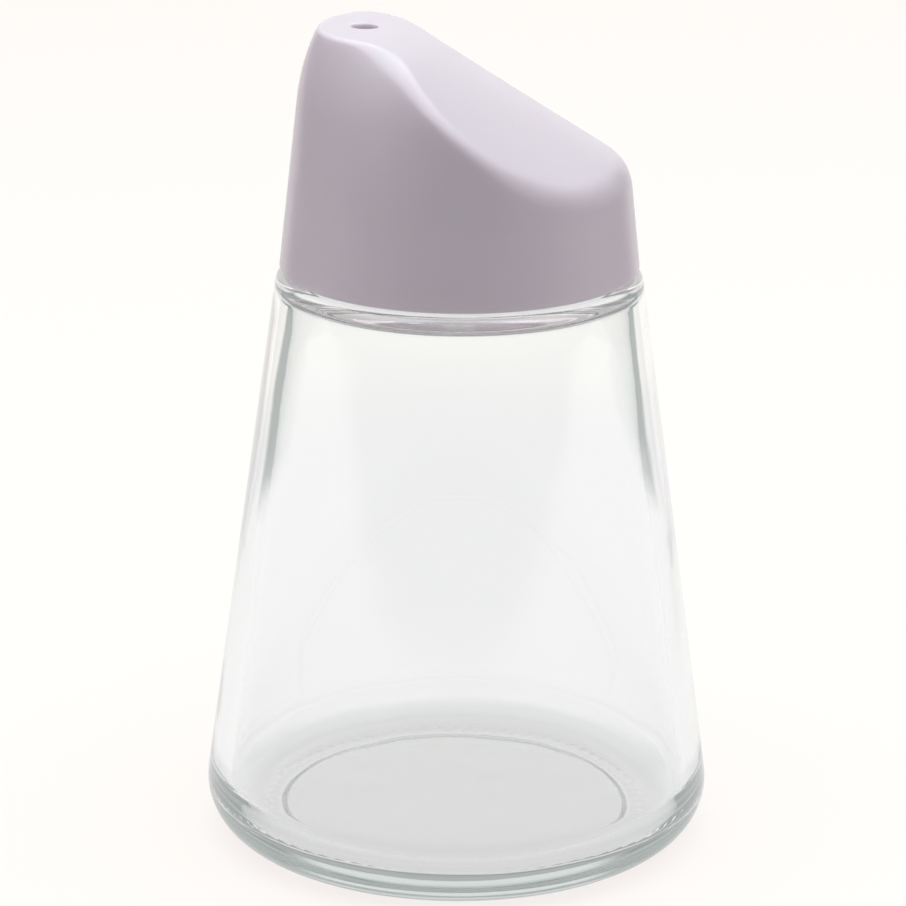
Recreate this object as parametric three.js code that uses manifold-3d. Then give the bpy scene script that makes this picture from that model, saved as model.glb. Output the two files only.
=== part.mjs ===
// A glass honey dispenser: a flared glass jar, a slanted pour cap that screws on its neck, and the cap's seal.
// Lengths are in millimetres, angles in degrees, and +Z is up. The jar stands on z = 0 with its axis on Z, and
// the pour hole is on the -X side.
import * as THREE from "three";
import { mergeVertices } from "three/addons/utils/BufferGeometryUtils.js";
import Module from "manifold-3d";

const wasm = await Module();
wasm.setup();

// Jar wall, foot and floor
const footRadius = 44.8; // where the wall's line would meet the ground, without the heel
const heelRound = 9;
const bearingWidth = 4; // flat ring that the jar stands on
const pushUpHeight = 1; // hollow under the floor, with a side at 45 degrees
const pushUpRound = 1.2;
const glassWall = 3.8;
const floorThickness = 4.6;
const floorRound = 6;

// Jar shoulder and neck
const shoulderHeight = 99.8;
const shoulderStep = 0.5; // how far the wall's line meets the shoulder's ledge outside the cap's edge
const shoulderRound = 2;
const neckRadius = 25.4;
const neckWall = 3.2;
const neckHeight = 13.7; // from the ledge to the rim
const rimRound = 1;
const neckFillet = 0.8;
const flareDrop = 2.8; // how far below the ledge the neck's bore widens, which leaves the shoulder even
const flareHeight = 0.4;
const flareRound = 2; // where the bore meets the shoulder's underside
const ceilingRound = 1.6; // where the underside meets the wall

// Thread
const threadLead = 5; // rise in one turn
const threadDepth = 1.2;
const threadBase = 2.2;
const threadTip = 1;
const threadStart = 3.6; // from the ledge to the middle of the jar's ridge, where it starts
const threadDrop = 1.7; // how far the cap's ridge lies below the jar's ridge
const threadPlay = 0.5; // between the cap's ridge and the neck
const threadSink = 0.4; // how deep a ridge is rooted in its wall
const jarThreadTurns = 1.5;
const capThreadTurns = 1.25;
const runOutDegrees = 25; // at each end of a ridge
const runOutShare = 0.15; // of a ridge's depth that is left at its very end

// Cap, with heights measured from its lower edge
const capClearance = 0.7; // between the jar's ledge and the cap's edge
const skirtThickness = 3.4; // from the top of the cap's bore to its outside at the edge
const capDraftDegrees = 6.2;
const capThickness = 1.9;
const capEdgeRound = 0.5;
const boreClearance = 0.4; // between the jar's ridge and the top of the cap's bore
const boreWidening = 0.9; // how much wider the bore is at its mouth
const tipHeight = 41;
const curlDrop = 12.2; // how far below the tip the wall starts to curve in
const curlRadius = 34;
const tipLength = 14; // from the wall to the line where the tip turns into the slant
const kneeBlend = 7; // how far the turn is rounded to each side of that line
const slantDegrees = 31.3;
const slantCrown = 72; // radius of the slant's crown, from side to side, at that line
const lowCrown = 30; // the same radius at the cap's far side
const sideDraw = 4; // how far the tip's sides are drawn in from the round wall
const drawStart = 12; // height where they start to be drawn in
const drawSkew = 1.34; // over 1, they are drawn in most nearer to the knee than to the tip
const tipRound = 1.4;
const kneeRound = 5.1;
const sideRound = 3.9;
const lowRound = 7.2;
const edgeRounds = [
  [0, lowRound],
  [60, lowRound],
  [95, sideRound],
  [120, kneeRound],
  [150, tipRound],
  [180, tipRound],
]; // direction in degrees from the low side, and rounding of the upper edge there
const roofThickness = 2.4; // measured straight down
const innerRound = 1.5;
const holeRadius = 2.3;
const holeInset = 7.7; // from the wall to the middle of the pour hole
const cutOverrun = 1;

// Seal
const sealThickness = 1.8;
const sealRest = 0.1; // above and below the seal
const sealClearance = 0.4; // between the seal and the cap's bore
const sealWidth = 4;
const ledgeWidth = 3; // ledge in the cap that presses on the seal

// Fineness
const segments = 60;
const arcSteps = 5;
const roundSteps = 2;
const wallSteps = 6;
const wallSpacingShare = 0.6; // under 1, the steps get shorter towards the top of a wall
const topSteps = 5;
const threadSteps = 36; // in one turn
const holeSegments = 24;
const solvingShare = 0.001; // of a small rounding, as the precision of an edge's place

const radians = THREE.MathUtils.degToRad;

const threadTopRadius = neckRadius + threadDepth;
const boreRadius = threadTopRadius + boreClearance;
const capRadius = boreRadius + skirtThickness;
const shoulderRadius = capRadius + shoulderStep;
const curlHeight = tipHeight - curlDrop;
const tipRadius = capWall(tipHeight, Math.PI);
const kneeReach = tipRadius - tipLength;
const holeReach = tipRadius - holeInset;
const capSeat = shoulderHeight + capClearance;
const sealHeight = neckHeight - capClearance + sealRest;
const ledgeHeight = sealHeight + sealThickness + sealRest;
const ledgeRadius = boreRadius - ledgeWidth;

// Circular arc that rounds the corner between two lines, from the first line to the second.
function roundedCorner(before, corner, after, radius, steps) {
  const back = before.clone().sub(corner).normalize();
  const ahead = after.clone().sub(corner).normalize();
  const halfTurn = (Math.PI - back.angleTo(ahead)) / 2;
  const reach = radius * Math.tan(halfTurn);
  const start = corner.clone().addScaledVector(back, reach);
  const end = corner.clone().addScaledVector(ahead, reach);
  return conic(start, corner, end, Math.cos(halfTurn), steps);
}

// Curve from start to end that is tangent to both lines through the corner.
function conic(start, corner, end, weight, steps) {
  const points = [];
  for (let i = 0; i <= steps; i++) {
    const t = i / steps;
    const shares = [(1 - t) ** 2, 2 * weight * t * (1 - t), t ** 2];
    const point = start.clone().multiplyScalar(shares[0]);
    point.addScaledVector(corner, shares[1]).addScaledVector(end, shares[2]);
    points.push(point.divideScalar(shares[0] + shares[1] + shares[2]));
  }
  return points;
}

// Outline through corners given as [radius from the axis, height, rounding, steps].
function outline(corners) {
  const at = corners.map(([r, z]) => new THREE.Vector2(r, z));
  return corners.flatMap(([, , radius, steps], i) =>
    radius ? roundedCorner(at[i - 1], at[i], at[i + 1], radius, steps) : [at[i]],
  );
}

// Body turned about the Z axis from an outline.
function turned(points) {
  return new THREE.LatheGeometry(points, segments).rotateX(Math.PI / 2);
}

function toSolid(geometry) {
  const bare = geometry.clone().deleteAttribute("normal").deleteAttribute("uv");
  const merged = mergeVertices(bare);
  return new wasm.Manifold(
    new wasm.Mesh({
      numProp: 3,
      vertProperties: merged.getAttribute("position").array,
      triVerts: new Uint32Array(merged.index.array),
    }),
  );
}

function toGeometry(solid) {
  const { vertProperties, triVerts } = solid.getMesh();
  const geometry = new THREE.BufferGeometry();
  geometry.setAttribute("position", new THREE.BufferAttribute(vertProperties, 3));
  geometry.setIndex(new THREE.BufferAttribute(triVerts, 1));
  const flat = geometry.toNonIndexed();
  flat.computeVertexNormals();
  return flat;
}

// Thread ridge: a straight bar bent round the axis so that it rises with the lead, with its ends run out.
// side is 1 for a ridge that stands out of a wall and -1 for one that stands in from it.
function threadRidge(rootRadius, depth, side, startHeight, startTurn, turns) {
  const flank = (threadBase - threadTip) / (2 * threadDepth);
  const half = (height) => threadTip / 2 + flank * (depth - height);
  const section = new THREE.Shape([
    new THREE.Vector2(-half(0), -threadSink),
    new THREE.Vector2(half(0), -threadSink),
    new THREE.Vector2(half(0), 0),
    new THREE.Vector2(half(depth), depth),
    new THREE.Vector2(-half(depth), depth),
    new THREE.Vector2(-half(0), 0),
  ]);
  const fullAngle = 2 * Math.PI * turns;
  const steps = Math.round(threadSteps * turns);
  const bar = new THREE.ExtrudeGeometry(section, { depth: fullAngle, steps, bevelEnabled: false });
  const position = bar.getAttribute("position");
  for (let i = 0; i < position.count; i++) {
    const along = position.getZ(i);
    const nearest = Math.min(along, fullAngle - along);
    const run = THREE.MathUtils.smoothstep(nearest, 0, radians(runOutDegrees));
    const share = runOutShare + (1 - runOutShare) * run;
    const height = position.getY(i) * (position.getY(i) > 0 ? share : 1);
    const angle = 2 * Math.PI * startTurn + along;
    const radius = rootRadius + side * height;
    const rise = (threadLead * along) / (2 * Math.PI) + side * position.getX(i);
    position.setXYZ(i, radius * Math.cos(angle), radius * Math.sin(angle), startHeight + rise);
  }
  return toSolid(bar);
}

// Outer radius of the jar's wall at a height.
function jarWall(z) {
  return THREE.MathUtils.mapLinear(z, 0, shoulderHeight, footRadius, shoulderRadius);
}

function glassJar() {
  const heelLine = radians(90) + Math.atan((footRadius - shoulderRadius) / shoulderHeight);
  const bearingOuter = footRadius - heelRound * Math.tan(heelLine / 2);
  const bearingInner = bearingOuter - bearingWidth;
  const rimHeight = shoulderHeight + neckHeight;
  const neckBore = neckRadius - neckWall;
  const floorHeight = pushUpHeight + floorThickness;
  const flareTop = shoulderHeight - flareDrop;
  const flareBottom = flareTop - flareHeight;
  const body = outline([
    [0, pushUpHeight],
    [bearingInner - pushUpHeight, pushUpHeight, pushUpRound, roundSteps],
    [bearingInner, 0],
    [bearingOuter, 0],
    [footRadius, 0, heelRound, arcSteps],
    [shoulderRadius, shoulderHeight, shoulderRound, arcSteps],
    [neckRadius, shoulderHeight, neckFillet, roundSteps],
    [neckRadius, rimHeight, rimRound, roundSteps],
    [neckBore, rimHeight, rimRound, roundSteps],
    [neckBore, flareTop, flareRound, roundSteps],
    [jarWall(flareBottom) - glassWall, flareBottom, ceilingRound, roundSteps],
    [jarWall(floorHeight) - glassWall, floorHeight, floorRound, arcSteps],
    [0, floorHeight],
  ]);
  const ridge = threadRidge(neckRadius, threadDepth, 1, shoulderHeight + threadStart, 0, jarThreadTurns);
  return toGeometry(toSolid(turned(body)).add(ridge));
}

// Height of the cap's top over a point, before its edges are rounded: a flat tip cut by a slant, whose
// crown gets rounder away from the tip.
function capTop(x, y) {
  const fall = Math.tan(radians(slantDegrees));
  const crown = THREE.MathUtils.mapLinear(x, -kneeReach, capRadius, 1 / slantCrown, 1 / lowCrown);
  const slant = tipHeight - (x + kneeReach) * fall - (y ** 2 * crown) / 2;
  const blend = kneeBlend * fall;
  const overlap = Math.max(tipHeight + blend - slant, 0);
  return overlap > 2 * blend ? slant : tipHeight - overlap ** 2 / (4 * blend);
}

// Outer radius of the cap's wall at a height, in the direction of an angle from +X.
function capWall(z, angle) {
  const above = Math.max(z - curlHeight, 0);
  const curl = curlRadius - Math.sqrt(curlRadius ** 2 - above ** 2);
  const fromTip = Math.acos(THREE.MathUtils.clamp(-Math.cos(angle), 0, 1)) / (Math.PI / 2);
  const rise = Math.max(z - drawStart, 0) / (tipHeight - drawStart);
  const draw = sideDraw * rise ** 2 * Math.sin(Math.PI * fromTip ** drawSkew) ** 2;
  return capRadius - z * Math.tan(radians(capDraftDegrees)) - curl - draw;
}

// Rounding of the cap's upper edge in the direction of an angle from +X.
function capRound(angle) {
  const degrees = THREE.MathUtils.radToDeg(Math.acos(THREE.MathUtils.clamp(Math.cos(angle), -1, 1)));
  const next = Math.max(edgeRounds.findIndex(([limit]) => limit >= degrees), 1);
  const [[from, before], [to, after]] = edgeRounds.slice(next - 1, next + 1);
  const share = (1 - Math.cos((Math.PI * (degrees - from)) / (to - from))) / 2;
  return THREE.MathUtils.lerp(before, after, share);
}

// Section through the axis in one direction: up a wall, round its upper edge and over a top to the axis.
function shellSection(angle, bottom, outerWall, top, round) {
  const height = (r) => top(r * Math.cos(angle), r * Math.sin(angle));
  const wall = (z) => outerWall(z, angle);
  let low = 0;
  let high = capRadius;
  while (high - low > capEdgeRound * solvingShare) {
    const middle = (low + high) / 2;
    if (middle < wall(height(middle))) low = middle;
    else high = middle;
  }
  const corner = new THREE.Vector2(low, height(low));
  const span = capEdgeRound;
  const down = new THREE.Vector2(wall(corner.y - span) - wall(corner.y), -span).normalize();
  const inward = new THREE.Vector2(-span, height(low - span) - height(low)).normalize();
  const halfTurn = (Math.PI - down.angleTo(inward)) / 2;
  const reach = round * Math.tan(halfTurn);
  const wallEnd = corner.y + reach * down.y;
  const topEnd = corner.x + reach * inward.x;
  const start = new THREE.Vector2(wall(wallEnd), wallEnd);
  const end = new THREE.Vector2(topEnd, height(topEnd));
  const points = [];
  for (let i = 0; i < wallSteps; i++) {
    const z = THREE.MathUtils.lerp(bottom, wallEnd, (i / wallSteps) ** wallSpacingShare);
    points.push(new THREE.Vector2(wall(z), z));
  }
  points.push(...conic(start, corner, end, Math.cos(halfTurn), arcSteps));
  for (let i = 1; i <= topSteps; i++) {
    const r = THREE.MathUtils.lerp(topEnd, 0, i / topSteps);
    points.push(new THREE.Vector2(r, height(r)));
  }
  return points;
}

// Closed outline of the cap's section in one direction, from the hollow's top on the axis to the cap's top.
function capSection(angle) {
  const hollowWall = (z) => Math.min(ledgeRadius, capWall(z, angle) - capThickness);
  const hollowTop = (x, y) => capTop(x, y) - roofThickness;
  const mouth = boreRadius + boreWidening;
  return [
    ...shellSection(angle, ledgeHeight, hollowWall, hollowTop, innerRound).reverse(),
    new THREE.Vector2(boreRadius, ledgeHeight),
    new THREE.Vector2(mouth, capEdgeRound),
    new THREE.Vector2(mouth + capEdgeRound, 0),
    new THREE.Vector2(capRadius - capEdgeRound, 0),
    ...shellSection(angle, capEdgeRound, capWall, capTop, capRound(angle)),
  ];
}

// Turned body whose outline changes with the direction.
function capShell() {
  const shell = turned(capSection(0));
  const rows = capSection(0).length;
  const position = shell.getAttribute("position");
  for (let i = 0; i <= segments; i++) {
    const angle = (2 * Math.PI * (i % segments)) / segments;
    capSection(angle).forEach((point, row) => {
      position.setXYZ(i * rows + row, point.x * Math.cos(angle), point.x * Math.sin(angle), point.y);
    });
  }
  return toSolid(shell);
}

function pourCap() {
  const holeLength = roofThickness + 2 * cutOverrun;
  const hole = new THREE.CylinderGeometry(holeRadius, holeRadius, holeLength, holeSegments);
  hole.rotateX(Math.PI / 2);
  hole.translate(-holeReach, 0, capTop(-holeReach, 0) - roofThickness / 2);
  const crestRadius = neckRadius + threadPlay;
  const rootRadius = boreRadius + boreWidening;
  const startTurn = jarThreadTurns - capThreadTurns;
  const startHeight = threadStart - threadDrop - capClearance + threadLead * startTurn;
  const ridge = threadRidge(rootRadius, rootRadius - crestRadius, -1, startHeight, startTurn, capThreadTurns);
  return toGeometry(capShell().subtract(toSolid(hole)).add(ridge));
}

function sealingRing() {
  const outer = boreRadius - sealClearance;
  const inner = outer - sealWidth;
  return turned(
    outline([
      [inner, 0],
      [outer, 0],
      [outer, sealThickness],
      [inner, sealThickness],
      [inner, 0],
    ]),
  );
}

const clearGlass = new THREE.MeshStandardMaterial({
  color: "rgb(226, 233, 229)",
  roughness: 0.05,
  metalness: 0,
  transparent: true,
  opacity: 0.35,
});
const mauvePlastic = new THREE.MeshStandardMaterial({
  color: "rgb(196, 186, 196)",
  roughness: 0.25,
  metalness: 0,
});
const softSilicone = new THREE.MeshStandardMaterial({
  color: "rgb(236, 234, 230)",
  roughness: 0.6,
  metalness: 0,
});

function part(name, geometry, material) {
  const mesh = new THREE.Mesh(geometry, material);
  mesh.name = name;
  return mesh;
}

const jar = part("glass_jar", glassJar(), clearGlass);
const cap = part("pour_cap", pourCap(), mauvePlastic);
const seal = part("sealing_ring", sealingRing(), softSilicone);
seal.position.z = sealHeight;

const capGroup = new THREE.Group();
capGroup.position.z = capSeat;
capGroup.add(cap, seal);

const dispenser = new THREE.Group();
dispenser.add(jar, capGroup);

export default dispenser;
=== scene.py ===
# %% [markdown]
# # A glass honey dispenser
#
# This is a clear glass jar that flares towards its base, with a slanted pour cap in a glossy grey-mauve
# plastic and a soft seal between the two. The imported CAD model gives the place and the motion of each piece,
# and this lesson builds the looks around it. All lengths are in metres, and +Z is up.

# %% Load the frame
import math

import bpy
from mathutils import Matrix, Vector, noise


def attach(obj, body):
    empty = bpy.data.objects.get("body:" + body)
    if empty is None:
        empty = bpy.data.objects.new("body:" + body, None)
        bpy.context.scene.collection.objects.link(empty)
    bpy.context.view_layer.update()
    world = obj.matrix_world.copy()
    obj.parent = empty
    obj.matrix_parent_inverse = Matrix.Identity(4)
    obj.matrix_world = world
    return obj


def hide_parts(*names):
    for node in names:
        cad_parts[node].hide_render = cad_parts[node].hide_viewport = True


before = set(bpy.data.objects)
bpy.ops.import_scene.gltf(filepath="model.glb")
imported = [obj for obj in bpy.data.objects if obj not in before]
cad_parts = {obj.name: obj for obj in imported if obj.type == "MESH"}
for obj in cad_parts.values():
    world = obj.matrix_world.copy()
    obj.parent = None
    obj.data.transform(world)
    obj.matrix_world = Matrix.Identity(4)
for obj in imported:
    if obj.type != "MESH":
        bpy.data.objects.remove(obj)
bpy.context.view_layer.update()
bpy.ops.object.select_all(action="DESELECT")
MM = 0.001

# %% [markdown]
# ## Camera
#
# The photograph is taken from a little above, with a long lens, so that the jar's upright lines hardly lean
# together. The camera's place, pitch and roll are the ones that put the rim, the shoulder and the base
# where the photograph has them. The focal length follows from the distance.

# %% Camera
CAMERA_PLACE = Vector((-0.92, -667.8, 282.3)) * MM
CAMERA_PITCH = math.radians(17.85)
CAMERA_ROLL = math.radians(0.338)
CAMERA_LENS = 162.9  # in millimetres
CAMERA_SENSOR = 36  # width in millimetres

camera_data = bpy.data.cameras.new("photo_camera")
camera_data.lens = CAMERA_LENS
camera_data.sensor_width = CAMERA_SENSOR
camera = bpy.data.objects.new("photo_camera", camera_data)
looking = Matrix.Rotation(math.radians(90) - CAMERA_PITCH, 4, "X")
camera.matrix_world = Matrix.Translation(CAMERA_PLACE) @ looking @ Matrix.Rotation(CAMERA_ROLL, 4, "Z")
bpy.context.collection.objects.link(camera)
bpy.context.scene.camera = camera
bpy.context.scene.view_settings.view_transform = "Standard"
looks_along = camera.matrix_world.to_3x3() @ Vector((0, 0, -1))
print("camera looks along", [round(v, 3) for v in looks_along])

# %% [markdown]
# ## Light
#
# The photograph's light comes from a wide soft box overhead. So the slanted top is bright, its rounded edges
# mirror the box and are brightest, and the upright wall gets little light. Two weak boxes, one to each side,
# stand for bounce light and make the wall a little lighter towards its sides. Glass and gloss mirror none of
# the three lamps, because a lamp's image in thick glass is a set of hard white arcs. What they mirror is the
# room of the next step. An empty could aim each lamp, but a track quaternion needs no second object.

# %% Lamps
LAMP_TARGET = Vector((0, 0, 100)) * MM
TOP_WHITE = (0.91, 1.05, 1.035)
SIDE_WHITE = (1.0, 0.93, 0.96)
SOFT_BOXES = (
    ("top_light", (0.06, -0.03, 1.1), 2.0, 1.9, 33, TOP_WHITE),
    ("left_light", (-0.95, -0.05, 0.3), 0.5, 0.7, 2.3, SIDE_WHITE),
    ("right_light", (0.95, -0.05, 0.3), 0.5, 0.7, 1.6, SIDE_WHITE),
)  # name, place, width and height in metres, power in watts, colour


def soft_box(name, place, width, height, power, colour):
    """Area lamp that faces the dispenser and shows only by what it lights."""
    data = bpy.data.lights.new(name, "AREA")
    data.shape = "RECTANGLE"
    data.size = width
    data.size_y = height
    data.energy = power
    data.color = colour
    lamp = bpy.data.objects.new(name, data)
    lamp.location = place
    lamp.rotation_euler = (LAMP_TARGET - Vector(place)).to_track_quat("-Z", "Y").to_euler()
    lamp.visible_camera = False
    lamp.visible_glossy = False
    lamp.visible_transmission = False
    bpy.context.collection.objects.link(lamp)


for box in SOFT_BOXES:
    soft_box(*box)

# %% [markdown]
# ## Room
#
# Clear glass and a glossy cap show their form only by what they bend or mirror into view. In the photograph
# that is a narrow white sheet, which runs under the jar and up behind it, with a darker room to both sides:
# the sheet makes the bright strips along the cap's edges, and the room makes the grey streaks in the jar's
# wall. So rays that were bent or mirrored see the sheet and the room. Mirrored rays also see the soft box, as
# a bright part of the ceiling, but once a ray has been in glass it finds a plain ceiling. The camera itself
# sees an even warm white, and light that falls on matt surfaces comes evenly from all sides.

# %% Tones and edges of the room
BACKGROUND = (1.0, 0.955, 0.93, 1)
SHEET = (0.935, 0.905, 0.912, 1)
DARK_ROOM = (0.33, 0.345, 0.34, 1)
CEILING = (0.64, 0.66, 0.655, 1)
MIRRORED_CEILING = (1.2, 1.26, 1.26, 1)
MIRRORED_BOX = (2.7, 3.05, 3.0, 1)
AMBIENT = (0.06, 0.05, 0.057, 1)
SHEET_EDGE = (0.22, 0.42)  # sideways part of a direction, from the last white to the first dark
MIRRORED_WIDENING = -0.14  # added to the sideways part for mirrored rays
SHEET_TOP = (0.35, 0.60)  # upward part of a direction
CEILING_EDGE = (0.2, 0.7)  # upward part too
BOX_EDGE = (0.54, 0.74)  # upward part too
BEHIND = (-0.1, 0.1)  # backward part of a direction
ONE_PASS = 0.5  # a Transmission Depth over this means at least one pass into glass
print("sheet ends at degrees up:", round(math.degrees(math.asin(SHEET_TOP[1]))))

# %% Node helpers
def new_node(tree, kind, place=(0, 0), **values):
    """Adds a node, sets its properties, and sets its inputs, whose names have underscores for spaces."""
    node = tree.nodes.new(kind)
    node.location = place
    for key, value in values.items():
        if hasattr(node, key):
            setattr(node, key, value)
        else:
            node.inputs[key.replace("_", " ")].default_value = value
    return node


def soft_step(tree, socket, span, before, after, place):
    """Value that goes softly from before to after as a socket goes through a span."""
    step = new_node(tree, "ShaderNodeMapRange", place, interpolation_type="SMOOTHSTEP")
    for name, value in zip(("From Min", "From Max", "To Min", "To Max"), (*span, before, after)):
        step.inputs[name].default_value = value
    tree.links.new(socket, step.inputs["Value"])
    return step.outputs["Result"]


def combined(tree, operation, sockets, place):
    """Math node over one or two sockets."""
    math_node = new_node(tree, "ShaderNodeMath", place, operation=operation)
    for i, socket in enumerate(sockets):
        tree.links.new(socket, math_node.inputs[i])
    return math_node.outputs[0]


def scaled(tree, socket, factor, added, place):
    """Math node for socket times factor plus added, which may be a number or a socket."""
    math_node = new_node(tree, "ShaderNodeMath", place, operation="MULTIPLY_ADD")
    tree.links.new(socket, math_node.inputs[0])
    for i, value in ((1, factor), (2, added)):
        if isinstance(value, (int, float)):
            math_node.inputs[i].default_value = value
        else:
            tree.links.new(value, math_node.inputs[i])
    return math_node.outputs[0]


def blended(tree, factor, low, high, place):
    """Colour mix of two colours or colour sockets by a factor socket."""
    mix = new_node(tree, "ShaderNodeMix", place, data_type="RGBA")
    tree.links.new(factor, mix.inputs["Factor"])
    for i, colour in ((6, low), (7, high)):
        if isinstance(colour, tuple):
            mix.inputs[i].default_value = colour
        else:
            tree.links.new(colour, mix.inputs[i])
    return mix.outputs[2]


def over_limit(tree, socket, limit, place):
    """1 where a socket is over a limit, and otherwise 0."""
    test = new_node(tree, "ShaderNodeMath", place, operation="GREATER_THAN")
    test.inputs[1].default_value = limit
    tree.links.new(socket, test.inputs[0])
    return test.outputs[0]


print("node helpers: soft step, combined, scaled, blended and over limit")

# %% World
world = bpy.data.worlds.new("studio")
bpy.context.scene.world = world
world.use_nodes = True
tree = world.node_tree
tree.nodes.clear()
direction = new_node(tree, "ShaderNodeTexCoord", (-1400, 0))
split = new_node(tree, "ShaderNodeSeparateXYZ", (-1200, 0))
tree.links.new(direction.outputs["Generated"], split.inputs[0])
rays = new_node(tree, "ShaderNodeLightPath", (-1400, 500))
is_mirrored = rays.outputs["Is Glossy Ray"]
sideways = combined(tree, "ABSOLUTE", [split.outputs["X"]], (-1000, 100))
sideways = scaled(tree, is_mirrored, MIRRORED_WIDENING, sideways, (-900, 200))
in_middle = soft_step(tree, sideways, SHEET_EDGE, 1, 0, (-800, 200))
is_low = soft_step(tree, split.outputs["Z"], SHEET_TOP, 1, 0, (-800, 0))
is_behind = soft_step(tree, split.outputs["Y"], BEHIND, 0, 1, (-800, -200))
is_high = soft_step(tree, split.outputs["Z"], CEILING_EDGE, 0, 1, (-800, -400))
on_sheet = combined(tree, "MULTIPLY", [in_middle, is_low], (-600, 100))
on_sheet = combined(tree, "MULTIPLY", [on_sheet, is_behind], (-400, 100))
on_box = soft_step(tree, split.outputs["Z"], BOX_EDGE, 0, 1, (-800, -600))
over_cap = blended(tree, on_box, MIRRORED_CEILING, MIRRORED_BOX, (-600, -600))
ceiling = blended(tree, is_mirrored, CEILING, over_cap, (-600, -400))
in_glass = over_limit(tree, rays.outputs["Transmission Depth"], ONE_PASS, (-800, -800))
ceiling = blended(tree, in_glass, ceiling, CEILING, (-500, -500))
room = blended(tree, is_high, DARK_ROOM, ceiling, (-400, -200))
room = blended(tree, on_sheet, room, SHEET, (-200, 0))
is_bent = combined(tree, "MAXIMUM", [is_mirrored, rays.outputs["Is Transmission Ray"]], (-800, 500))
light = blended(tree, is_bent, AMBIENT, room, (0, 200))
light = blended(tree, rays.outputs["Is Camera Ray"], light, BACKGROUND, (200, 300))
sky = new_node(tree, "ShaderNodeBackground", (400, 300))
world_out = new_node(tree, "ShaderNodeOutputWorld", (600, 300))
tree.links.new(light, sky.inputs["Color"])
tree.links.new(sky.outputs[0], world_out.inputs["Surface"])
print("world nodes:", len(tree.nodes))

# %% [markdown]
# ## Floor
#
# The floor is a plain pale sheet. For the camera a part of it glows with the background's colour, so that it
# joins the background with no edge, and the rest is lit, which leaves a soft shadow under the jar. Seen
# through the glass or in gloss, it is the white sheet: whole near the jar, and farther back a wedge with the
# dark room on both sides. Under the jar, which stands in its light, a painted shadow makes it dimmer, and a
# little less so in a ring under the heel, which is painted shadow as well. Far in front it ends in the dark
# room again. It throws back less light than it shows, or the cap's wall would get too bright from below.

# %% Tones and edges of the floor
FLOOR_RADIUS = 4.0
FLOOR_COLUMNS = 96
FLOOR_COLOUR = (0.90, 0.86, 0.84, 1)
FLOOR_BOUNCE = (0.54, 0.50, 0.50, 1)
FLOOR_GLOW_SHARE = 0.87
FLOOR_SHEET_SPREAD = -0.56  # how far the wedge's edge lies outwards for each metre backwards, as a minus
FLOOR_MIRRORED_SPREAD = -0.28  # added to it for mirrored rays
FLOOR_SHEET_EDGE = (-0.01, 0.03)  # metres past that line
FLOOR_SHEET_NEAR = (0.17, 0.23)  # metres behind the axis, as are the next two
FLOOR_SHEET_FAR = (0.22, 0.32)
FRONT_ROOM_EDGE = (-0.70, -0.35)
# Painted shadow on the sheet that glass and gloss show: under the jar, and in a ring under the heel
SHADOW_UNDER_JAR_EDGE = (0.044, 0.054)  # metres from the axis, as are the next two
SHADOW_UNDER_HEEL_INSIDE = (0.034, 0.040)
SHADOW_UNDER_HEEL_OUTSIDE = (0.042, 0.052)
FAR_SHEET = (1.03, 0.985, 0.96, 1)
# Tones of the painted shadows under the jar and under the heel
SHADOW_UNDER_JAR = (0.78, 0.765, 0.765, 1)
SHADOW_UNDER_HEEL = (0.80, 0.79, 0.79, 1)
FRONT_ROOM = (0.30, 0.30, 0.30, 1)
print("wedge's half angle in degrees:", round(math.degrees(math.atan(-FLOOR_SHEET_SPREAD))))

# %% Floor
bpy.ops.mesh.primitive_circle_add(
    vertices=FLOOR_COLUMNS, radius=FLOOR_RADIUS, fill_type="NGON", location=(0, 0, 0)
)
floor = bpy.context.object
floor.name = "floor"
floor_paint = bpy.data.materials.new("floor_paint")
floor_paint.use_nodes = True
tree = floor_paint.node_tree
tree.nodes.clear()
place = new_node(tree, "ShaderNodeTexCoord", (-1200, -200))
split = new_node(tree, "ShaderNodeSeparateXYZ", (-1000, -200))
tree.links.new(place.outputs["Object"], split.inputs[0])
sideways = combined(tree, "ABSOLUTE", [split.outputs["X"]], (-800, -100))
rays = new_node(tree, "ShaderNodeLightPath", (-1200, 400))
is_mirrored = rays.outputs["Is Glossy Ray"]
spread = scaled(tree, is_mirrored, FLOOR_MIRRORED_SPREAD, FLOOR_SHEET_SPREAD, (-900, 0))
past_edge = scaled(tree, split.outputs["Y"], spread, sideways, (-700, -200))
in_middle = soft_step(tree, past_edge, FLOOR_SHEET_EDGE, 1, 0, (-600, -100))
is_near = soft_step(tree, split.outputs["Y"], FLOOR_SHEET_NEAR, 1, 0, (-600, 0))
on_sheet = combined(tree, "MAXIMUM", [in_middle, is_near], (-500, -100))
is_far = soft_step(tree, split.outputs["Y"], FLOOR_SHEET_FAR, 0, 1, (-600, -300))
from_axis = new_node(tree, "ShaderNodeVectorMath", (-800, -400), operation="LENGTH")
tree.links.new(place.outputs["Object"], from_axis.inputs[0])
# Masks of the painted shadows under the jar and in the ring under the heel
in_jar_shadow = soft_step(tree, from_axis.outputs["Value"], SHADOW_UNDER_JAR_EDGE, 1, 0, (-600, -500))
past_heel_shadow_inside = soft_step(tree, from_axis.outputs["Value"], SHADOW_UNDER_HEEL_INSIDE, 0, 1, (-600, -600))
before_heel_shadow_outside = soft_step(tree, from_axis.outputs["Value"], SHADOW_UNDER_HEEL_OUTSIDE, 1, 0, (-600, -700))
in_heel_shadow = combined(tree, "MULTIPLY", [past_heel_shadow_inside, before_heel_shadow_outside], (-500, -600))
through = blended(tree, in_jar_shadow, SHEET, SHADOW_UNDER_JAR, (-500, -400))
through = blended(tree, in_heel_shadow, through, SHADOW_UNDER_HEEL, (-450, -400))
through = blended(tree, is_far, through, FAR_SHEET, (-400, -300))
through = blended(tree, on_sheet, DARK_ROOM, through, (-200, -200))
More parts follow.
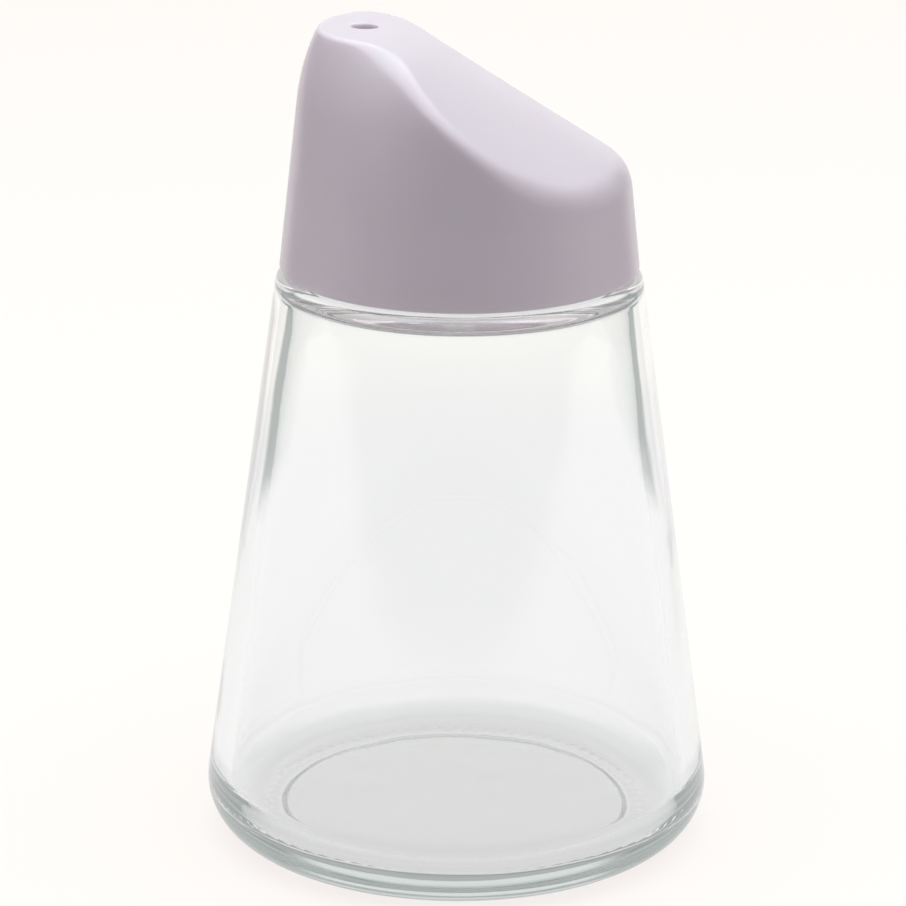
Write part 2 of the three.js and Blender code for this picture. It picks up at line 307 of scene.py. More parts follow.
is_front = soft_step(tree, split.outputs["Y"], FRONT_ROOM_EDGE, 1, 0, (-400, -800))
through = blended(tree, is_front, through, FRONT_ROOM, (-100, -200))
is_bent = combined(tree, "MAXIMUM", [is_mirrored, rays.outputs["Is Transmission Ray"]], (-800, 400))
is_seen = combined(tree, "MAXIMUM", [is_bent, rays.outputs["Is Camera Ray"]], (-600, 300))
colour = blended(tree, rays.outputs["Is Camera Ray"], through, BACKGROUND, (0, -200))
share = scaled(tree, is_seen, FLOOR_GLOW_SHARE, 0, (-400, 300))
matt = new_node(tree, "ShaderNodeBsdfDiffuse", (200, 0))
paint = blended(tree, is_seen, FLOOR_BOUNCE, FLOOR_COLOUR, (0, 100))
tree.links.new(paint, matt.inputs["Color"])
glow = new_node(tree, "ShaderNodeEmission", (200, -200))
tree.links.new(colour, glow.inputs["Color"])
mixed = new_node(tree, "ShaderNodeMixShader", (400, 0))
floor_out = new_node(tree, "ShaderNodeOutputMaterial", (600, 0))
tree.links.new(share, mixed.inputs["Fac"])
tree.links.new(matt.outputs[0], mixed.inputs[1])
tree.links.new(glow.outputs[0], mixed.inputs[2])
tree.links.new(mixed.outputs[0], floor_out.inputs["Surface"])
floor.data.materials.append(floor_paint)
print("floor radius:", FLOOR_RADIUS)

# %% [markdown]
# ## Rounded outlines
#
# The jar, the seal and the pour hole are turned forms: one outline goes round the Z axis. Their outlines are
# straight lines with rounded corners. An arc could be drawn with a bevel on each corner, but a conic through
# the two tangent points gives the same arc, and its fullness can be worked out for any angle.

# %% Arcs and outlines
def conic(start, corner, end, weight, rows):
    """Curve from start to end that is tangent to both lines through the corner."""
    points = []
    for i in range(rows + 1):
        t = i / rows
        shares = ((1 - t) ** 2, 2 * weight * t * (1 - t), t**2)
        total = sum(shares)
        points.append((start * shares[0] + corner * shares[1] + end * shares[2]) / total)
    return points


def rounded(before, corner, after, radius, rows):
    """Arc that rounds the corner between two lines."""
    back, ahead = (before - corner).normalized(), (after - corner).normalized()
    half_turn = (math.pi - back.angle(ahead)) / 2
    reach = radius * math.tan(half_turn)
    return conic(corner + back * reach, corner, corner + ahead * reach, math.cos(half_turn), rows)


def outline(corners):
    """Points through corners: each (radius, height, rounding, rows round it, rows on the line before it)."""
    at = [Vector(corner[:2]) for corner in corners]
    points = []
    for i, (_, _, rounding, arc_rows, line_rows) in enumerate(corners):
        arc = rounded(at[i - 1], at[i], at[i + 1], rounding, arc_rows) if rounding else [at[i]]
        if points:
            start = points[-1]
            points += [start.lerp(arc[0], (k + 1) / line_rows) for k in range(line_rows - 1)]
        points += arc
    return points


sample = rounded(Vector((0, 0)), Vector((1, 0)), Vector((1, 1)), 0.2, 6)
print("rounded corner, points:", len(sample))

# %% [markdown]
# ## Turning an outline
#
# By hand, a turned form starts as a plane whose corners are merged into one point. That point is extruded
# from one place of the outline to the next, and the finished line is spun round the Z axis. The seam and the
# poles close when doubles are merged. Each point of the line keeps its number in an attribute named row, so
# that a later step can find, say, the rows of the neck.

# %% The lathe
DOUBLES = MM / 1000


def activate(piece):
    """Selects one object alone."""
    bpy.ops.object.select_all(action="DESELECT")
    piece.select_set(True)
    bpy.context.view_layer.objects.active = piece


def turned(name, points, columns):
    """Closed form turned about Z from an outline of (radius, height) points."""
    bpy.ops.mesh.primitive_plane_add(size=MM, location=(0, 0, 0))
    piece = bpy.context.object
    piece.name = name
    piece.data.name = name
    bpy.ops.object.mode_set(mode="EDIT")
    bpy.ops.mesh.select_all(action="SELECT")
    bpy.ops.mesh.merge(type="CENTER")
    bpy.ops.transform.translate(value=(points[0].x, 0, points[0].y))
    for before, after in zip(points, points[1:]):
        step = after - before
        bpy.ops.mesh.extrude_vertices_move(TRANSFORM_OT_translate={"value": (step.x, 0, step.y)})
    bpy.ops.object.mode_set(mode="OBJECT")
    row = piece.data.attributes.new("row", "INT", "POINT")
    for i in range(len(points)):
        row.data[i].value = i
    bpy.ops.object.mode_set(mode="EDIT")
    bpy.ops.mesh.select_all(action="SELECT")
    bpy.ops.mesh.spin(steps=columns, angle=2 * math.pi, center=(0, 0, 0), axis=(0, 0, 1))
    bpy.ops.mesh.select_all(action="SELECT")
    bpy.ops.mesh.remove_doubles(threshold=DOUBLES)
    bpy.ops.mesh.normals_make_consistent(inside=False)
    bpy.ops.object.mode_set(mode="OBJECT")
    return piece


print("doubles closer than this are merged, mm:", DOUBLES / MM)

# %% Moving and smoothing
def reshape(piece, moved):
    """Moves every point of a turned piece to moved(angle, row, radius, height)."""
    rows = piece.data.attributes["row"].data
    for vertex in piece.data.vertices:
        x, y, z = vertex.co
        radius = math.hypot(x, y)
        angle = math.atan2(y, x) % (2 * math.pi)
        radius, z = moved(angle, rows[vertex.index].value, radius, z)
        vertex.co = (radius * math.cos(angle), radius * math.sin(angle), z)
    piece.data.update()


def finish_shading(piece, degrees):
    """Smooths the piece but keeps the edges that turn by more than an angle."""
    activate(piece)
    bpy.ops.object.shade_smooth_by_angle(angle=math.radians(degrees))
    triangles = sum(len(face.vertices) - 2 for face in piece.data.polygons)
    print(piece.name, "has", triangles, "triangles")


def smooth(value, low, high):
    """Share that goes softly from 0 at low to 1 at high."""
    t = min(max((value - low) / (high - low), 0), 1)
    return t * t * (3 - 2 * t)


print("soft step at a quarter:", smooth(0.25, 0, 1))

# %% [markdown]
# ## Sizes of the jar
#
# The driving sizes are those of the CAD model, apart from a slightly lower push-up, whose edge would show too
# much through the glass. The outline runs from the middle of the push-up under the floor, round the heel, up
# the outside, over the rim and down the inside to the middle of the floor. The lines that get ridges or waves
# later are cut into more rows.

# %% Jar sizes
FOOT_RADIUS = 44.8 * MM
HEEL_ROUND = 9 * MM
BEARING_WIDTH = 4 * MM
PUSH_UP_HEIGHT = 0.8 * MM
PUSH_UP_ROUND = 0.9 * MM
PUSH_UP_RUN = 1 * MM
GLASS_WALL = 3.8 * MM
FLOOR_THICKNESS = 4.8 * MM
FLOOR_ROUND = 6 * MM
SHOULDER_HEIGHT = 99.8 * MM
SHOULDER_RADIUS = 30.9 * MM
SHOULDER_ROUND = 2 * MM
NECK_RADIUS = 25.4 * MM
NECK_WALL = 3.2 * MM
NECK_HEIGHT = 13.7 * MM
NECK_FILLET = 0.8 * MM
RIM_ROUND = 1.2 * MM
FLARE_TOP = SHOULDER_HEIGHT - 2.8 * MM
FLARE_BOTTOM = FLARE_TOP - 0.4 * MM
FLARE_ROUND = 2 * MM
CORNER_ROUND = 1.6 * MM
BEARING_ROUND = 0.7 * MM


def jar_wall(z):
    """Outer radius of the jar's wall at a height."""
    return FOOT_RADIUS + (SHOULDER_RADIUS - FOOT_RADIUS) * z / SHOULDER_HEIGHT


print("jar radius under the shoulder, mm:", round(jar_wall(FLARE_TOP) / MM, 2))

# %% Jar outline
heel_line = math.radians(90) + math.atan((FOOT_RADIUS - SHOULDER_RADIUS) / SHOULDER_HEIGHT)
bearing_outer = FOOT_RADIUS - HEEL_ROUND * math.tan(heel_line / 2)
bearing_inner = bearing_outer - BEARING_WIDTH
rim_height = SHOULDER_HEIGHT + NECK_HEIGHT
neck_bore = NECK_RADIUS - NECK_WALL
floor_height = PUSH_UP_HEIGHT + FLOOR_THICKNESS

jar_outline = outline([
    (0, PUSH_UP_HEIGHT, 0, 0, 1),
    (bearing_inner - PUSH_UP_RUN, PUSH_UP_HEIGHT, PUSH_UP_ROUND, 8, 6),
    (bearing_inner, 0, BEARING_ROUND, 6, 3),
    (bearing_outer, 0, 0, 0, 8),
    (FOOT_RADIUS, 0, HEEL_ROUND, 14, 1),
    (SHOULDER_RADIUS, SHOULDER_HEIGHT, SHOULDER_ROUND, 8, 10),
    (NECK_RADIUS, SHOULDER_HEIGHT, NECK_FILLET, 4, 2),
    (NECK_RADIUS, rim_height, RIM_ROUND, 5, 34),
    (neck_bore, rim_height, RIM_ROUND, 5, 1),
    (neck_bore, FLARE_TOP, FLARE_ROUND, 6, 4),
    (jar_wall(FLARE_BOTTOM) - GLASS_WALL, FLARE_BOTTOM, CORNER_ROUND, 6, 2),
    (jar_wall(floor_height) - GLASS_WALL, floor_height, FLOOR_ROUND, 10, 22),
    (0, floor_height, 0, 0, 10),
])
print("jar outline points:", len(jar_outline))

# %% [markdown]
# ## The jar
#
# A moulded jar has a thread with soft edges on its neck, a ring of short ridges on the face that it stands
# on, and an inside that is never quite even. A boolean union could add the thread and the ridges, but on
# glass every seam shows, because light bends at it. So the turned form is made fine enough for the ridges,
# and its points are moved: the form stays one closed skin with even faces.

# %% Thread, ridges and waves
JAR_RIDGES = 72
JAR_COLUMNS = 6 * JAR_RIDGES
RIDGE_DEPTH = 0.07 * MM
RIDGE_FADE = 1.3 * MM
RIDGE_LENGTH = 3.2 * MM
THREAD_LEAD = 5 * MM
THREAD_DEPTH = 1.2 * MM
THREAD_BASE = 2.2 * MM
THREAD_TIP = 0.8 * MM
THREAD_START = 3.6 * MM
JAR_THREAD_TURNS = 1.5
THREAD_RUN_OUT = math.radians(25)
WAVE_DEPTH = 0.2 * MM
WAVE_LENGTH = Vector((26, 26, 60)) * MM
WAVE_FADE = 10 * MM  # the waves die out towards the floor's middle
RIPPLE_SHARE = 0.35  # a ripple on the waves, this much as deep
RIPPLE_COUNT = 3  # and so many to a wave
CLOSE = MM / 10  # a point as near as this to a surface is on it


def thread_share(angle, height, start_angle, start_height, turns):
    """Share of a thread's full depth at a place on its wall."""
    share = 0
    for turn in range(-1, 3):
        along = angle - start_angle + turn * 2 * math.pi
        if not 0 <= along <= turns * 2 * math.pi:
            continue
        middle = start_height + THREAD_LEAD * along / (2 * math.pi)
        run = smooth(min(along, turns * 2 * math.pi - along), 0, THREAD_RUN_OUT)
        beside = abs(height - middle)
        share = max(share, run * (1 - smooth(beside, THREAD_TIP / 2, THREAD_BASE / 2)))
    return share


def wave(x, y, z):
    """Uneven thickness of the moulded glass, about -1 to 1."""
    place = Vector((x / WAVE_LENGTH.x, y / WAVE_LENGTH.y, z / WAVE_LENGTH.z))
    return noise.noise(place) + RIPPLE_SHARE * noise.noise(place * RIPPLE_COUNT)


half_lead = thread_share(math.pi, THREAD_LEAD / 2, 0, 0, JAR_THREAD_TURNS)
print("thread's depth after half a turn, mm:", round(THREAD_DEPTH * half_lead / MM, 2))

# %% Jar form
def jar_point(angle, row, radius, z):
    """Place of a jar point after the ridges, the thread and the waves."""
    ridge_start = bearing_outer - RIDGE_LENGTH
    if z < CLOSE and ridge_start < radius < bearing_outer:
        edge = min(radius - ridge_start, bearing_outer - radius)
        dip = (1 + math.cos(JAR_RIDGES * angle)) / 2
        return radius, z + RIDGE_DEPTH * dip * smooth(edge, 0, RIDGE_FADE)
    if abs(radius - NECK_RADIUS) < CLOSE and z > SHOULDER_HEIGHT:
        share = thread_share(angle, z, 0, SHOULDER_HEIGHT + THREAD_START, JAR_THREAD_TURNS)
        return radius + THREAD_DEPTH * share, z
    inside = row > neck_rows
    if inside and z < FLARE_TOP and radius > MM:
        x, y = radius * math.cos(angle), radius * math.sin(angle)
        push = WAVE_DEPTH * wave(x, y, z)
        on_wall = smooth(z, floor_height, floor_height + FLOOR_ROUND)
        return radius + push * on_wall, z + push * (1 - on_wall) * smooth(radius, 0, WAVE_FADE)
    return radius, z


neck_rows = max(i for i, point in enumerate(jar_outline) if point.y == max(p.y for p in jar_outline))
jar = turned("jar_glass", jar_outline, JAR_COLUMNS)
reshape(jar, jar_point)
finish_shading(jar, degrees=50)

# %% [markdown]
# ## Sizes of the cap
#
# The cap is round at its lower edge, and its wall leans in and then curls in towards the tip. Its top is a
# flat tip that runs into a slant, crowned from side to side. The tip's sides are drawn in, so that the upper
# edge bends inwards at the knee. At the tip the edge is tight, at the knee it is round, and on the low side
# it is rounded most.

# %% Cap sizes
CAP_SEAT = SHOULDER_HEIGHT + 0.7 * MM
CAP_RADIUS = 30.4 * MM
CAP_DRAFT = math.tan(math.radians(6.2))
CAP_THICKNESS = 1.9 * MM
CAP_EDGE_ROUND = 0.5 * MM
CAP_EDGE_MIDDLE = CAP_EDGE_ROUND * 0.3  # how far the rounded edge's middle lies from both its faces
BORE_RADIUS = 27 * MM
BORE_WIDENING = 0.9 * MM
TIP_HEIGHT = 41 * MM
CURL_HEIGHT = 28.8 * MM
CURL_RADIUS = 34 * MM
KNEE_REACH = 9.68 * MM
KNEE_BLEND = 7 * MM
SLANT_FALL = math.tan(math.radians(31.3))
SLANT_CROWN = 72 * MM
LOW_CROWN = 30 * MM
SIDE_DRAW = 4 * MM
DRAW_START = 12 * MM
DRAW_SKEW = 1.34
TIP_ROUND = 1.4 * MM
KNEE_ROUND = 5.1 * MM
SIDE_ROUND = 3.9 * MM
LOW_ROUND = 7.2 * MM
EDGE_ROUNDS = (
    (0, LOW_ROUND),
    (60, LOW_ROUND),
    (95, SIDE_ROUND),
    (120, KNEE_ROUND),
    (150, TIP_ROUND),
    (180, TIP_ROUND),
)  # direction in degrees from the low side, and rounding of the upper edge there
ROOF_THICKNESS = 2.4 * MM
INNER_ROUND = 1.5 * MM
LEDGE_RADIUS = 24 * MM
LEDGE_HEIGHT = 15.1 * MM
CREST_RADIUS = 25.9 * MM
CAP_THREAD_START = 2.45 * MM
CAP_THREAD_TURNS = 1.25
CAP_COLUMNS = 240
BORE_ROWS = 40
HOLLOW_ROWS = (8, 6, 14)  # up the wall, round the upper edge and over the top
OUTSIDE_ROWS = (36, 12, 30)
HALVINGS = 24  # of the cap's radius, when the corner of wall and top is sought
print("cap's width and height, mm:", round(2 * CAP_RADIUS / MM, 1), round(TIP_HEIGHT / MM, 1))

# %% Cap surfaces
def cap_top(x, y):
    """Height of the top over a point: a flat tip cut by a crowned slant, with a rounded turn between them."""
    away = (x + KNEE_REACH) / (CAP_RADIUS + KNEE_REACH)
    crown = (1 - away) / SLANT_CROWN + away / LOW_CROWN
    slant = TIP_HEIGHT - (x + KNEE_REACH) * SLANT_FALL - y * y * crown / 2
    blend = KNEE_BLEND * SLANT_FALL
    overlap = max(TIP_HEIGHT + blend - slant, 0)
    return slant if overlap > 2 * blend else TIP_HEIGHT - overlap**2 / (4 * blend)


def cap_wall(z, angle):
    """Outer radius of the wall at a height over the cap's edge, in the direction of an angle from +X."""
    above = max(z - CURL_HEIGHT, 0)
    from_tip = math.acos(min(max(-math.cos(angle), 0), 1)) / (math.pi / 2)
    rise = max(z - DRAW_START, 0) / (TIP_HEIGHT - DRAW_START)
    draw = SIDE_DRAW * rise**2 * math.sin(math.pi * from_tip**DRAW_SKEW) ** 2
    return CAP_RADIUS - z * CAP_DRAFT - (CURL_RADIUS - math.sqrt(CURL_RADIUS**2 - above**2)) - draw


def cap_rounding(angle):
    """Rounding of the upper edge in the direction of an angle from +X."""
    degrees = math.degrees(math.acos(min(max(math.cos(angle), -1), 1)))
    last = len(EDGE_ROUNDS) - 1
    after = next((i for i in range(1, last) if EDGE_ROUNDS[i][0] >= degrees), last)
    (start, low), (end, high) = EDGE_ROUNDS[after - 1], EDGE_ROUNDS[after]
    return low + (high - low) * (1 - math.cos(math.pi * (degrees - start) / (end - start))) / 2


print("cap wall at the tip, mm:", round(cap_wall(TIP_HEIGHT, math.pi) / MM, 2))

# %% [markdown]
# ## The cap
#
# The cap's outline changes with the direction, so turning alone can't make it. A boolean cut through a turned
# wall would give the right edge, but a bevel along that edge pinches at the tip. So the cap is spun from its
# outline on the +X side, and then every column is moved to the outline of its own direction. The faces keep
# flowing evenly over the rounded edge, which a glossy surface needs.

# %% Outline in one direction
def shell(angle, bottom, outer_wall, top, rounding, rows):
    """Outline in one direction: up a wall, round its upper edge and over a top to the axis."""
    wall_rows, arc_rows, top_rows = rows

    def height(radius):
        return top(radius * math.cos(angle), radius * math.sin(angle))

    def wall(z):
        return outer_wall(z, angle)

    low, high = 0.0, CAP_RADIUS
    for _ in range(HALVINGS):
        middle = (low + high) / 2
        low, high = (middle, high) if middle < wall(height(middle)) else (low, middle)
    corner = Vector((low, height(low)))
    span = CAP_EDGE_ROUND
    down = Vector((wall(corner.y - span) - wall(corner.y), -span)).normalized()
    inward = Vector((-span, height(low - span) - height(low))).normalized()
    half_turn = (math.pi - down.angle(inward)) / 2
    reach = rounding * math.tan(half_turn)
    wall_end = corner.y + reach * down.y
    top_end = corner.x + reach * inward.x
    points = []
    for i in range(wall_rows):
        z = bottom + (wall_end - bottom) * (i / wall_rows)
        points.append(Vector((wall(z), z)))
    start, end = Vector((wall(wall_end), wall_end)), Vector((top_end, height(top_end)))
    points += conic(start, corner, end, math.cos(half_turn), arc_rows)
    for i in range(top_rows):
        radius = top_end * (1 - (i + 1) / top_rows)
        points.append(Vector((radius, height(radius))))
    return points


low_side = shell(0, CAP_EDGE_ROUND, cap_wall, cap_top, LOW_ROUND, OUTSIDE_ROWS)
print("outside on the low side, points:", len(low_side))

# %% Cap sections
def cap_section(angle):
    """Closed outline in one direction, from the hollow's top on the axis to the cap's top on the axis."""
    mouth = BORE_RADIUS + BORE_WIDENING
    hollow = shell(
        angle,
        LEDGE_HEIGHT,
        lambda z, angle: min(LEDGE_RADIUS, cap_wall(z, angle) - CAP_THICKNESS),
        lambda x, y: cap_top(x, y) - ROOF_THICKNESS,
        INNER_ROUND,
        HOLLOW_ROWS,
    )
    bore_top, bore_end = Vector((BORE_RADIUS, LEDGE_HEIGHT)), Vector((mouth, CAP_EDGE_ROUND))
    bore = [bore_top.lerp(bore_end, i / BORE_ROWS) for i in range(BORE_ROWS + 1)]
    edge = [
        Vector((mouth + CAP_EDGE_ROUND, 0)),
        Vector((CAP_RADIUS - CAP_EDGE_ROUND, 0)),
        Vector((CAP_RADIUS - CAP_EDGE_MIDDLE, CAP_EDGE_MIDDLE)),
    ]
    outside = shell(angle, CAP_EDGE_ROUND, cap_wall, cap_top, cap_rounding(angle), OUTSIDE_ROWS)
    points = [*reversed(hollow), *bore, *edge, *outside]
    return [Vector((point.x, point.y + CAP_SEAT)) for point in points]


cap_sections = [cap_section(2 * math.pi * i / CAP_COLUMNS) for i in range(CAP_COLUMNS)]
print("cap sections:", len(cap_sections), "points in each:", len(cap_sections[0]))

# %% Cap form
def cap_point(angle, row, radius, z):
    """Place of a cap point: its section's, with the thread standing in from the bore."""
    column = round(angle / (2 * math.pi) * CAP_COLUMNS) % CAP_COLUMNS
    place = cap_sections[column][row]
    height = place.y - CAP_SEAT
    bore = BORE_RADIUS + BORE_WIDENING * (LEDGE_HEIGHT - height) / LEDGE_HEIGHT
    if CAP_EDGE_ROUND < height < LEDGE_HEIGHT and place.x <= bore + CLOSE:
        share = thread_share(angle, height, math.pi / 2, CAP_THREAD_START, CAP_THREAD_TURNS)
        return place.x - (place.x - CREST_RADIUS) * share, place.y
    return place.x, place.y


cap = turned("cap_shell", cap_sections[0], CAP_COLUMNS)
reshape(cap, cap_point)
print("cap points:", len(cap.data.vertices))

# %% [markdown]
# ## The pour hole
#
# The hole goes straight down through the tip. A boolean cut with a plain cylinder leaves a knife edge, and
# the real rim is slightly rounded, so the cutter is a turned form that widens like a trumpet at both faces.

# %% Hole outline
HOLE_RADIUS = 2.3 * MM
HOLE_REACH = 15.98 * MM
HOLE_ROUND = 0.45 * MM
HOLE_FLARE = math.radians(70)
HOLE_ROWS = 6
HOLE_COLUMNS = 96

hole_top = CAP_SEAT + cap_top(-HOLE_REACH, 0)
hole_low = hole_top - ROOF_THICKNESS


def flare(middle, side):
    """Arc from the hole's wall out to a face; side is 1 for the upper face and -1 for the lower one."""
    points = []
    for i in range(HOLE_ROWS + 1):
        turn = HOLE_FLARE * i / HOLE_ROWS
        radius = HOLE_RADIUS + HOLE_ROUND * (1 - math.cos(turn))
        points.append(Vector((radius, middle + side * HOLE_ROUND * math.sin(turn))))
    return points


upper = flare(hole_top - HOLE_ROUND * math.sin(HOLE_FLARE), 1)
lower = flare(hole_low + HOLE_ROUND * math.sin(HOLE_FLARE), -1)
spread = HOLE_ROUND * math.tan(HOLE_FLARE)
low_end = lower[-1] + Vector((spread, -HOLE_ROUND))
top_end = upper[-1] + Vector((spread, HOLE_ROUND))
cutter_outline = [Vector((0, low_end.y)), low_end, *reversed(lower), *upper, top_end, Vector((0, top_end.y))]
print("cutter outline points:", len(cutter_outline))

# %% Pour hole
cutter = turned("hole_cutter", cutter_outline, HOLE_COLUMNS)
cutter.location.x = -HOLE_REACH
activate(cap)
cut = cap.modifiers.new("pour_hole", "BOOLEAN")
cut.operation = "DIFFERENCE"
cut.solver = "EXACT"
cut.object = cutter
bpy.ops.object.modifier_apply(modifier=cut.name)
bpy.data.objects.remove(cutter)
finish_shading(cap, degrees=40)

# %% [markdown]
# ## The seal
#
# The seal is a soft flat ring on the glass rim, pressed by the cap's ledge. Its edges are slightly rounded,
# as those of a moulded ring are.

# %% Seal form
SEAL_OUTER = 26.6 * MM
SEAL_INNER = 22.6 * MM
SEAL_LOW = CAP_SEAT + 13.1 * MM
SEAL_THICKNESS = 1.8 * MM
SEAL_ROUND = 0.35 * MM
SEAL_COLUMNS = 144

seal_middle = (SEAL_OUTER + SEAL_INNER) / 2
seal_top = SEAL_LOW + SEAL_THICKNESS
seal_outline = outline([
    (seal_middle, SEAL_LOW, 0, 0, 1),
    (SEAL_OUTER, SEAL_LOW, SEAL_ROUND, 5, 2),
    (SEAL_OUTER, seal_top, SEAL_ROUND, 5, 2),
    (SEAL_INNER, seal_top, SEAL_ROUND, 5, 4),
    (SEAL_INNER, SEAL_LOW, SEAL_ROUND, 5, 2),
    (seal_middle, SEAL_LOW, 0, 0, 2),
])
seal = turned("seal_ring", seal_outline, SEAL_COLUMNS)
finish_shading(seal, degrees=40)

# %% [markdown]
# ## Uneven surfaces
#
# No real surface is quite even: moulded glass has a faint ripple, moulded plastic a faint orange peel, and
# silicone a fine matt skin. One node group makes this for all three. It gives a height for the Bump node and
# a roughness that varies around its mean, and each material sets its own scale.

# %% Shared node group
FINE_GRAIN_SHARE = 0.12  # height of the fine grain next to the broad one
PATCH_SCALE_SHARE = 0.5  # the patches of roughness are twice as wide as the broad grain
NOISE_MEAN = 0.5
SKIN_INPUTS = (("Scale", 100.0), ("Detail Scale", 1000.0), ("Roughness", 0.2), ("Variation", 0.05))

skin = bpy.data.node_groups.new("moulded_skin", "ShaderNodeTree")
for socket_name, default in SKIN_INPUTS:
    socket = skin.interface.new_socket(socket_name, in_out="INPUT", socket_type="NodeSocketFloat")
    socket.default_value = default
for socket_name in ("Height", "Roughness"):
    skin.interface.new_socket(socket_name, in_out="OUTPUT", socket_type="NodeSocketFloat")
group_in = new_node(skin, "NodeGroupInput", (-900, 0))
group_out = new_node(skin, "NodeGroupOutput", (500, 0))
place = new_node(skin, "ShaderNodeTexCoord", (-900, -300))
broad = new_node(skin, "ShaderNodeTexNoise", (-600, 100), Detail=1.0)
fine = new_node(skin, "ShaderNodeTexNoise", (-600, -200), Detail=2.0)
patches = new_node(skin, "ShaderNodeTexNoise", (-600, -500), Detail=3.0)
patch_scale = scaled(skin, group_in.outputs["Scale"], PATCH_SCALE_SHARE, 0, (-750, -500))
for texture, scale in (
    (broad, group_in.outputs["Scale"]),
    (fine, group_in.outputs["Detail Scale"]),
    (patches, patch_scale),
):
    skin.links.new(place.outputs["Object"], texture.inputs["Vector"])
    skin.links.new(scale, texture.inputs["Scale"])
height = scaled(skin, fine.outputs["Fac"], FINE_GRAIN_SHARE, broad.outputs["Fac"], (-300, 0))
centred = scaled(skin, patches.outputs["Fac"], 1, -NOISE_MEAN, (-300, -400))
variation, mean = group_in.outputs["Variation"], group_in.outputs["Roughness"]
varied = scaled(skin, centred, variation, mean, (0, -300))
skin.links.new(height, group_out.inputs["Height"])
skin.links.new(varied, group_out.inputs["Roughness"])
print("skin group nodes:", len(skin.nodes))

# %% Material helpers
def skinned_material(name, scale, detail_scale, roughness, variation, bump_distance):
    """Material with the moulded skin on its bump and roughness, and its Principled BSDF."""
    material = bpy.data.materials.new(name)
    material.use_nodes = True
    tree = material.node_tree
    shader = tree.nodes["Principled BSDF"]
    surface = new_node(tree, "ShaderNodeGroup", (-600, 0), node_tree=skin)
    for (socket_name, _), value in zip(SKIN_INPUTS, (scale, detail_scale, roughness, variation)):
        surface.inputs[socket_name].default_value = value
    bump = new_node(tree, "ShaderNodeBump", (-300, -200), Strength=1.0, Distance=bump_distance)
    tree.links.new(surface.outputs["Height"], bump.inputs["Height"])
    tree.links.new(surface.outputs["Roughness"], shader.inputs["Roughness"])
    tree.links.new(bump.outputs["Normal"], shader.inputs["Normal"])
    return material, shader


def drifting_colour(tree, scale, low, high):
    """Colour that drifts from one tone to another over the piece."""
    place = new_node(tree, "ShaderNodeTexCoord", (-900, 300))
    drift = new_node(tree, "ShaderNodeTexNoise", (-700, 300), Scale=scale, Detail=2.0)
    tree.links.new(place.outputs["Object"], drift.inputs["Vector"])
    return blended(tree, drift.outputs["Fac"], low, high, (-300, 300))


print("values that each material sets:", [socket_name for socket_name, _ in SKIN_INPUTS])

# %% [markdown]
# ## Glass
#
# Soda-lime glass looks clear across a thin wall and grey-green along an edge, where the way through it is
# long. A tinted surface would colour both alike, so the tint is a volume that takes away light with distance.
# Light that is caught in the heel or the shoulder is mirrored many times before it gets out. Following it to
# the end is slow, and giving it up leaves black streaks. So where a ray has been mirrored four times, which
# Light Path's Glossy Depth tells, the glass glows with painted light: the room's mean tone, and a darker one
# in the heel.

# %% Glass
GLASS_CLEAR = (0.985, 0.992, 0.99, 1)
GLASS_TINT = (0.50, 0.65, 0.60, 1)
GLASS_TINT_DENSITY = 7.5
LAST_MIRRORING = 3.5  # a Glossy Depth over this means four or more
# Painted light: tones that the glass glows with, in place of the light caught in it
TRAPPED_LIGHT = (0.31, 0.29, 0.294, 1)
TRAPPED_IN_HEEL = (0.19, 0.195, 0.194, 1)
HEEL_SPAN = (9 * MM, 14 * MM)  # heights between which the one goes over into the other

clear_glass, shader = skinned_material(
    "clear_glass", scale=45, detail_scale=160, roughness=0.012, variation=0.02, bump_distance=0.1 * MM
)
shader.inputs["Base Color"].default_value = GLASS_CLEAR
shader.inputs["Transmission Weight"].default_value = 1.0
shader.inputs["IOR"].default_value = 1.5
tree = clear_glass.node_tree
tint = new_node(
    tree, "ShaderNodeVolumeAbsorption", (0, -500), Color=GLASS_TINT, Density=GLASS_TINT_DENSITY
)
tree.links.new(tint.outputs["Volume"], tree.nodes["Material Output"].inputs["Volume"])
print("glass nodes without the caught light:", len(tree.nodes))

# %% Light caught in the glass
rays = new_node(tree, "ShaderNodeLightPath", (-900, 400))
# Painted light: the glass glows for rays that have been mirrored four times or more
is_trapped = over_limit(tree, rays.outputs["Glossy Depth"], LAST_MIRRORING, (-600, 400))
tree.links.new(is_trapped, shader.inputs["Emission Strength"])
place = new_node(tree, "ShaderNodeTexCoord", (-1100, 700))
split = new_node(tree, "ShaderNodeSeparateXYZ", (-900, 700))
tree.links.new(place.outputs["Object"], split.inputs[0])
over_heel = soft_step(tree, split.outputs["Z"], HEEL_SPAN, 0, 1, (-600, 700))
trapped = blended(tree, over_heel, TRAPPED_IN_HEEL, TRAPPED_LIGHT, (-300, 700))
tree.links.new(trapped, shader.inputs["Emission Color"])
jar.data.materials.append(clear_glass)
print("glass nodes:", len(tree.nodes))

# %% [markdown]
# ## Plastic
#
# The cap is a pale grey-mauve plastic with a soft gloss. Its colour drifts very slightly, as in any moulding.
# Such a plastic lets some light through, so the hollow inside the cap, which is seen only through the glass,
# is dim but not black. Subsurface scattering carries a part of that light, and the rest is painted light:
# to rays that have passed through the glass, the cap glows with a dim tone of its own.

# %% Mauve plastic
MAUVE = (0.518, 0.434, 0.484, 1)
MAUVE_DEEP = (0.493, 0.409, 0.459, 1)
# Painted light: the dim tone that the cap glows with for rays that have passed through the glass
GLOW_SEEN_THROUGH_GLASS = (0.16, 0.17, 0.165, 1)

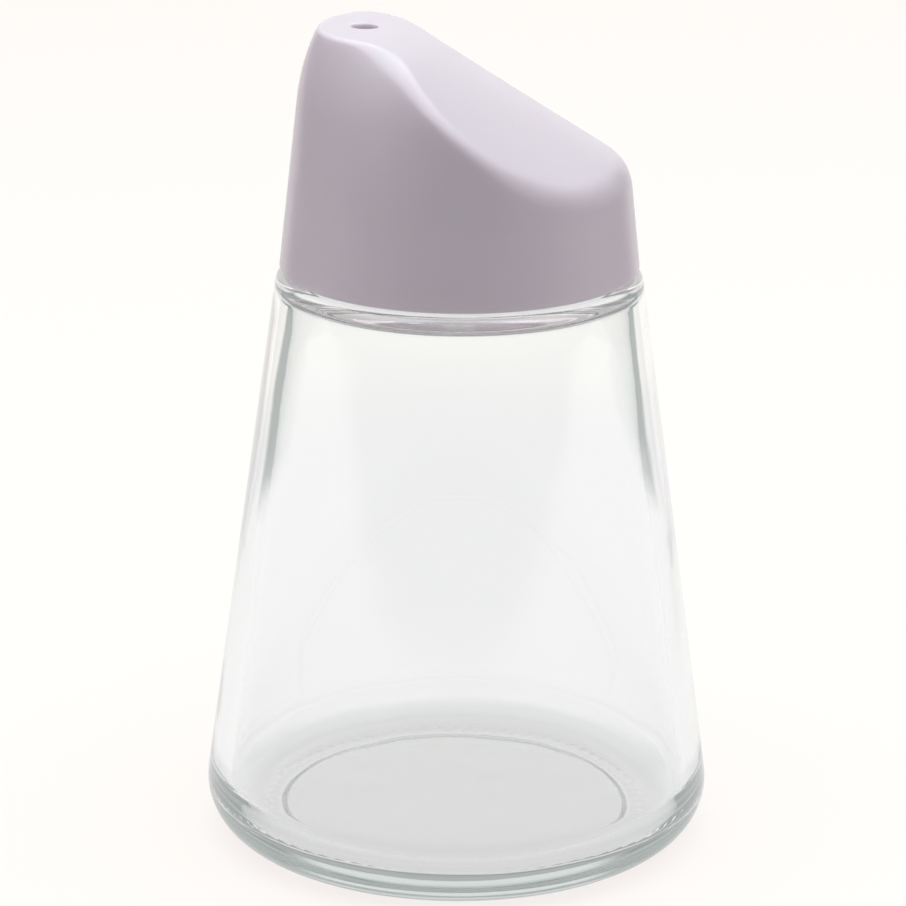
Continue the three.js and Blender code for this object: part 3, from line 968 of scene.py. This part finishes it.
mauve_plastic, shader = skinned_material(
    "mauve_plastic", scale=60, detail_scale=1400, roughness=0.4, variation=0.06, bump_distance=0.01 * MM
)
shader.inputs["IOR"].default_value = 1.5
shader.inputs["Coat Weight"].default_value = 0.5
shader.inputs["Coat Roughness"].default_value = 0.21
shader.inputs["Subsurface Weight"].default_value = 0.8
shader.inputs["Subsurface Radius"].default_value = (1, 0.9, 0.95)
shader.inputs["Subsurface Scale"].default_value = 5 * MM
tree = mauve_plastic.node_tree
tree.links.new(drifting_colour(tree, 35.0, MAUVE_DEEP, MAUVE), shader.inputs["Base Color"])
# Painted light: the cap glows where the ray has been through the glass
rays = new_node(tree, "ShaderNodeLightPath", (-900, 600))
through_glass = over_limit(tree, rays.outputs["Transmission Depth"], ONE_PASS, (-600, 600))
tree.links.new(through_glass, shader.inputs["Emission Strength"])
shader.inputs["Emission Color"].default_value = GLOW_SEEN_THROUGH_GLASS
cap.data.materials.append(mauve_plastic)
print("plastic nodes:", len(tree.nodes))

# %% [markdown]
# ## Silicone
#
# The seal is a milky silicone: soft, matt and slightly see-through at its edges.

# %% Silicone
MILKY = (0.87, 0.87, 0.85, 1)
MILKY_DEEP = (0.80, 0.80, 0.77, 1)

soft_silicone, shader = skinned_material(
    "soft_silicone", scale=200, detail_scale=3000, roughness=0.5, variation=0.1, bump_distance=0.02 * MM
)
tree = soft_silicone.node_tree
tree.links.new(drifting_colour(tree, 120.0, MILKY_DEEP, MILKY), shader.inputs["Base Color"])
shader.inputs["Subsurface Weight"].default_value = 0.3
shader.inputs["Subsurface Radius"].default_value = (1, 1, 1)
shader.inputs["Subsurface Scale"].default_value = 1.5 * MM
seal.data.materials.append(soft_silicone)
print("silicone nodes:", len(tree.nodes))

# %% [markdown]
# ## Tie the pieces to the frame
#
# Each piece stands for its CAD node and moves with that node's body; its finish, given above, has the slot's
# name.

# %% Pieces and bodies
for piece, body, node, slot in (
    (jar, "jar", "glass_jar", "clear_glass"),
    (cap, "cap", "pour_cap", "mauve_plastic"),
    (seal, "seal", "sealing_ring", "soft_silicone"),
):
    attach(piece, body)
    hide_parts(node)
    print(piece.name, "stands for", node)
